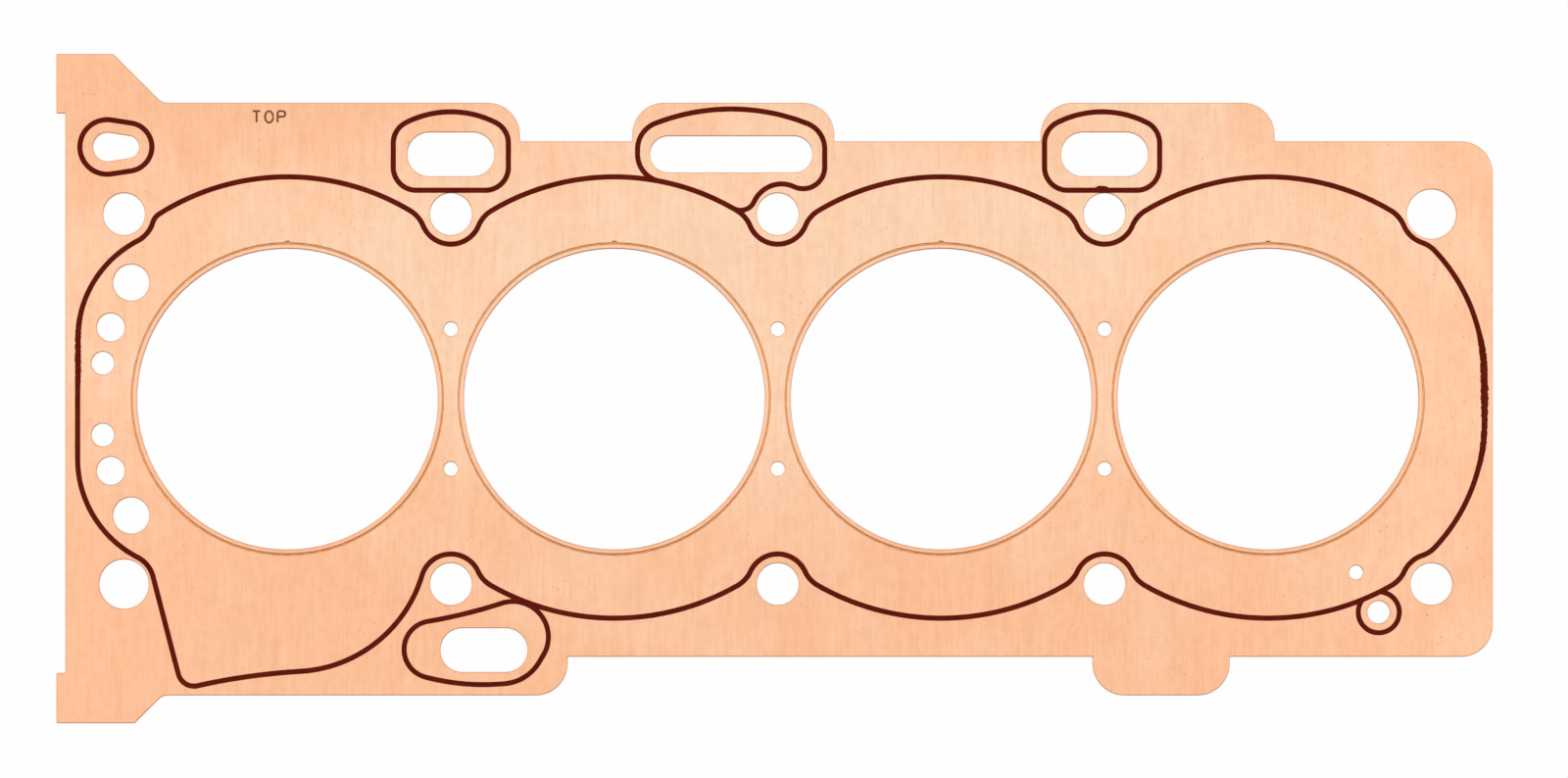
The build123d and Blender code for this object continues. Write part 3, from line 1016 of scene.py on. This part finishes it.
@dataclass
class SeamWires:
    """Wire that lies in the seam round each loose ring, with its joint turned into the notch at the top."""

    layout: GasketLayout
    radius: float = 0.14
    depth: float = 0.17
    sides: int = 8
    stations: int = 240
    joint_depth: float = 0.36
    joint_length: float = 1.09
    joint_radius: float = 0.197
    joint_out: float = 0.2
    joint_stations: int = 13

    def loop(self, x: float) -> Surface:
        """Round wire carried along a circle: a circle of the wire's radius at each station.

        Args:
            x: place of the bore along the gasket.

        Returns:
            Points and faces of the wire.
        """
        turn = np.exp(2j * np.pi * np.arange(self.stations) / self.stations)
        radii = np.full(self.stations, self.radius)
        return self.round_bar(x + self.layout.seam_r * turn, -turn, radii, self.depth, closed=True)

    def joint(self, x: float) -> Surface:
        """Short bar across the notch: at a share u of half its length its radius falls as sqrt(1 - u^8).

        Args:
            x: place of the bore along the gasket.

        Returns:
            Points and faces of the bar.
        """
        share = np.sin(np.linspace(-1, 1, self.joint_stations) * np.pi / 2)
        y = self.layout.seam_r + self.layout.seam / 2 + self.joint_out
        places = x + share * self.joint_length / 2 + 1j * y
        radii = self.joint_radius * np.sqrt(1 - share**8)
        return self.round_bar(places, np.full(share.size, 1j), radii, self.joint_depth, closed=False)

    def round_bar(
        self, places: np.ndarray, lefts: np.ndarray, radii: np.ndarray, depth: float, closed: bool
    ) -> Surface:
        """Carries a circle along a path: radius * cos to the left, and radius * sin up from its middle.

        Args:
            places: stations as complex numbers.
            lefts: unit steps to the left at the stations.
            radii: radius of the bar at each station.
            depth: depth of its middle below the head face.
            closed: whether the last station joins the first.

        Returns:
            Points and faces of the bar.
        """
        angle = 2 * np.pi * np.arange(self.sides) / self.sides
        up = self.layout.plate_t - depth + radii[:, None] * np.sin(angle)
        return sweep(places, lefts, radii[:, None] * np.cos(angle), up, closed)

    def build(self, material: bpy.types.Material) -> None:
        """Makes the wires of all the bores as one piece."""
        surfaces = [make(x) for x in self.layout.bores for make in (self.loop, self.joint)]
        make_piece("seam_wires", surfaces, material)


@dataclass
class EtchedMark:
    """Three plain single-stroke letters that say which face is up, near the front of the upper edge."""

    layout: GasketLayout
    left: float = -151.0
    base_y: float = 79.5
    letter_height: float = 3.3
    letter_width: float = 2.3
    gap: float = 1.3
    stroke: float = 0.60
    relief: float = 0.010
    step: float = 0.09
    least_stations: int = 9
    profile_points: int = 7
    ring_points: int = 41
    bowl_points: int = 17
    bowl_middle: complex = 0.62 + 0.76j
    bowl_half: complex = 0.34 + 0.24j

    def stroke_strip(self, corners: np.ndarray) -> Surface:
        """Carries a flat dome along one stroke, with round ends.

        Stations are spread evenly by length, and left is a quarter turn from the way ahead. Near an end the
        half width w falls as in a circle of the half stroke h. At a share u of w the dome is as high as
        relief * w / h * sqrt(1 - u^4).

        Args:
            corners: points of the stroke as complex numbers.

        Returns:
            Points and faces of the strip.
        """
        run = np.concatenate([[0], np.cumsum(np.abs(np.diff(corners)))])
        at = np.linspace(0, run[-1], max(self.least_stations, int(run[-1] / self.step)))
        places = np.interp(at, run, corners.real) + 1j * np.interp(at, run, corners.imag)
        ahead = np.gradient(places)
        half = self.stroke / 2
        to_end = np.clip(np.minimum(at, run[-1] - at) / half, 0, 1)
        width = half * np.sqrt(1 - (1 - to_end) ** 2)
        u = np.linspace(1, -1, self.profile_points)
        up = self.layout.plate_t + self.relief * (width / half)[:, None] * np.sqrt(1 - u**4)
        return sweep(places, 1j * ahead / np.abs(ahead), width[:, None] * u, up, closed=False)

    def letters(self) -> list[list[np.ndarray]]:
        """Strokes of each letter in a box one wide and one high.

        Returns:
            For each letter its strokes, as rows of complex numbers.
        """
        turn = np.linspace(0, 2 * np.pi, self.ring_points)
        ring = 0.5 + 0.5j + 0.5 * np.cos(turn) + 0.5j * np.sin(turn)
        arc = np.linspace(np.pi / 2, -np.pi / 2, self.bowl_points)
        bend = self.bowl_middle + self.bowl_half.real * np.cos(arc) + 1j * self.bowl_half.imag * np.sin(arc)
        bowl = np.concatenate([[1j * bend[0].imag], bend, [1j * bend[-1].imag]])
        return [
            [np.array([0 + 1j, 1 + 1j]), np.array([0.5 + 1j, 0.5 + 0j])],
            [ring],
            [np.array([0j, 1j]), bowl],
        ]

    def build(self, material: bpy.types.Material) -> None:
        """Makes the mark as one piece.

        Args:
            material: finish of the mark.
        """
        surfaces = []
        for number, strokes in enumerate(self.letters()):
            start = complex(self.left + number * (self.letter_width + self.gap), self.base_y)
            for stroke in strokes:
                shaped = stroke.real * self.letter_width + 1j * stroke.imag * self.letter_height
                surfaces.append(self.stroke_strip(start + shaped))
        make_piece("etched_mark", surfaces, material)


@dataclass
class SheetMetal:
    """The blanked plate and its loose rings, dressed with copper and a slightly rounded sheared edge."""

    plate_edge: float = 0.28
    ring_edge: float = 0.30
    edge_segments: int = 2
    edge_angle: float = 50.0
    flat_angle: float = 0.5
    weld: float = 1e-7

    def dress(self, node: str, material: bpy.types.Material, edge: float) -> None:
        """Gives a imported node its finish, and rounds its edges with live modifiers.

        Args:
            node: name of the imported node.
            material: finish of the node.
            edge: width of the rounded edge.
        """
        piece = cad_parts[node]
        piece.data.materials.clear()
        piece.data.materials.append(material)
        weld = piece.modifiers.new("join_faces", "WELD")
        weld.merge_threshold = self.weld
        flats = piece.modifiers.new("whole_flats", "DECIMATE")
        flats.decimate_type = "DISSOLVE"
        flats.angle_limit = math.radians(self.flat_angle)
        bevel = piece.modifiers.new("sheared_edge", "BEVEL")
        bevel.width = edge * MM
        bevel.segments = self.edge_segments
        bevel.limit_method = "ANGLE"
        bevel.angle_limit = math.radians(self.edge_angle)
        bevel.use_clamp_overlap = False
        bevel.loop_slide = False
        log.info("%s: dressed", node)


@dataclass
class Studio:
    """Plain pale floor, two soft lamps and a camera straight above the gasket."""

    camera_height: float = 1500.0
    camera_at: complex = complex(1.80, 2.90)
    frame_width: float = 450.83
    sensor: float = 36.0
    head_face: float = 1.1
    floor_size: float = 6000.0
    floor_drop: float = 0.15
    floor_grey: float = 0.92
    floor_glow: float = 0.95
    lamp_distance: float = 1600.0
    lamp_tilt: float = 45.0
    lamp_length: float = 2200.0
    lamp_depth: float = 1400.0
    lamp_power: float = 2.9
    sky: float = 0.8

    def camera(self) -> None:
        """Places the camera so that the frame's width covers the same stretch of plate as in the picture."""
        data = bpy.data.cameras.new("camera")
        data.sensor_width = self.sensor
        data.lens = self.sensor * (self.camera_height - self.head_face) / self.frame_width
        made = bpy.data.objects.new("camera", data)
        made.location = (self.camera_at.real * MM, self.camera_at.imag * MM, self.camera_height * MM)
        bpy.context.scene.collection.objects.link(made)
        bpy.context.scene.camera = made

    def white_rays(self, t: Tree) -> bpy.types.NodeSocket:
        """One for rays from the camera and for mirrored and transmitted rays, zero for the rest.

        Args:
            t: tree of the material or world.

        Returns:
            The socket of that value.
        """
        path = t.add("ShaderNodeLightPath").outputs
        seen = t.maths("MAXIMUM", path["Is Camera Ray"], path["Is Glossy Ray"])
        return t.maths("MAXIMUM", seen, path["Is Transmission Ray"])

    def world(self) -> None:
        """White backdrop, with softer light on the object itself."""
        made = bpy.data.worlds.new("studio")
        made.use_nodes = True
        bpy.context.scene.world = made
        t = Tree(made.node_tree)
        light = t.add("ShaderNodeBackground", {"Color": (1, 1, 1, 1), "Strength": self.sky})
        white = t.add("ShaderNodeBackground", {"Color": (1, 1, 1, 1), "Strength": 1.0})
        both = t.add("ShaderNodeMixShader", {0: self.white_rays(t), 1: light.outputs[0], 2: white.outputs[0]})
        t.add("ShaderNodeOutputWorld", {"Surface": both.outputs[0]})

    def floor(self) -> None:
        """Pale floor seen from above only, white to the camera and with the object's shadow."""
        half = self.floor_size / 2 * MM
        z = -self.floor_drop * MM
        mesh = bpy.data.meshes.new("floor")
        corners = [(x * half, y * half, z) for x, y in ((-1, -1), (1, -1), (1, 1), (-1, 1))]
        mesh.from_pydata(corners, [], [(0, 1, 2, 3)])
        made = bpy.data.materials.new("floor_white")
        made.use_nodes = True
        t = Tree(made.node_tree)
        matt = t.add("ShaderNodeBsdfDiffuse", {"Color": (self.floor_grey,) * 3 + (1,)})
        glow = t.add("ShaderNodeEmission", {"Color": (1, 1, 1, 1), "Strength": 1.0})
        share = t.maths("MULTIPLY", self.white_rays(t), self.floor_glow)
        both = t.add("ShaderNodeMixShader", {0: share, 1: matt.outputs[0], 2: glow.outputs[0]})
        clear = t.add("ShaderNodeBsdfTransparent")
        below = t.add("ShaderNodeNewGeometry").outputs["Backfacing"]
        skin = t.add("ShaderNodeMixShader", {0: below, 1: both.outputs[0], 2: clear.outputs[0]})
        t.add("ShaderNodeOutputMaterial", {"Surface": skin.outputs[0]})
        mesh.materials.append(made)
        piece = bpy.data.objects.new("floor", mesh)
        bpy.context.scene.collection.objects.link(piece)

    def lamps(self) -> None:
        """Two wide soft lamps, beyond the front and rear ends, that shine along the plate."""
        tilt, reach = math.radians(self.lamp_tilt), self.lamp_distance * MM
        for name, way in (("lamp_front", -1), ("lamp_rear", 1)):
            data = bpy.data.lights.new(name, "AREA")
            data.shape = "RECTANGLE"
            data.size, data.size_y = self.lamp_depth * MM, self.lamp_length * MM
            data.energy = self.lamp_power
            made = bpy.data.objects.new(name, data)
            made.location = (way * reach * math.sin(tilt), 0, reach * math.cos(tilt))
            made.rotation_euler = (0, way * tilt, 0)
            bpy.context.scene.collection.objects.link(made)

    def build(self) -> None:
        """Sets up the camera, the light and the floor."""
        bpy.context.scene.view_settings.view_transform = "Standard"
        self.camera()
        self.world()
        self.lamps()
        self.floor()


def main() -> None:
    """Builds and dresses the gasket, then the studio round it."""
    logging.basicConfig(level=logging.INFO, format="%(name)s: %(message)s")
    layout = GasketLayout()
    copper = RolledCopper()
    metal = SheetMetal()
    metal.dress("copper_plate", PLATE_COPPER.material(copper), metal.plate_edge)
    metal.dress("combustion_rings", RING_COPPER.material(copper), metal.ring_edge)
    print_material = BEAD_PRINT.material()
    for node in ("jacket_bead", "passage_beads"):
        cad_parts[node].data.materials.clear()
        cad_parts[node].data.materials.append(print_material)
    PrintedBeads(layout).build(print_material)
    SeamWires(layout).build(SEAM_WIRE_SHADE.material())
    EtchedMark(layout).build(ETCHED_MARK.material())
    Studio().build()


if __name__ == "__main__":
    main()
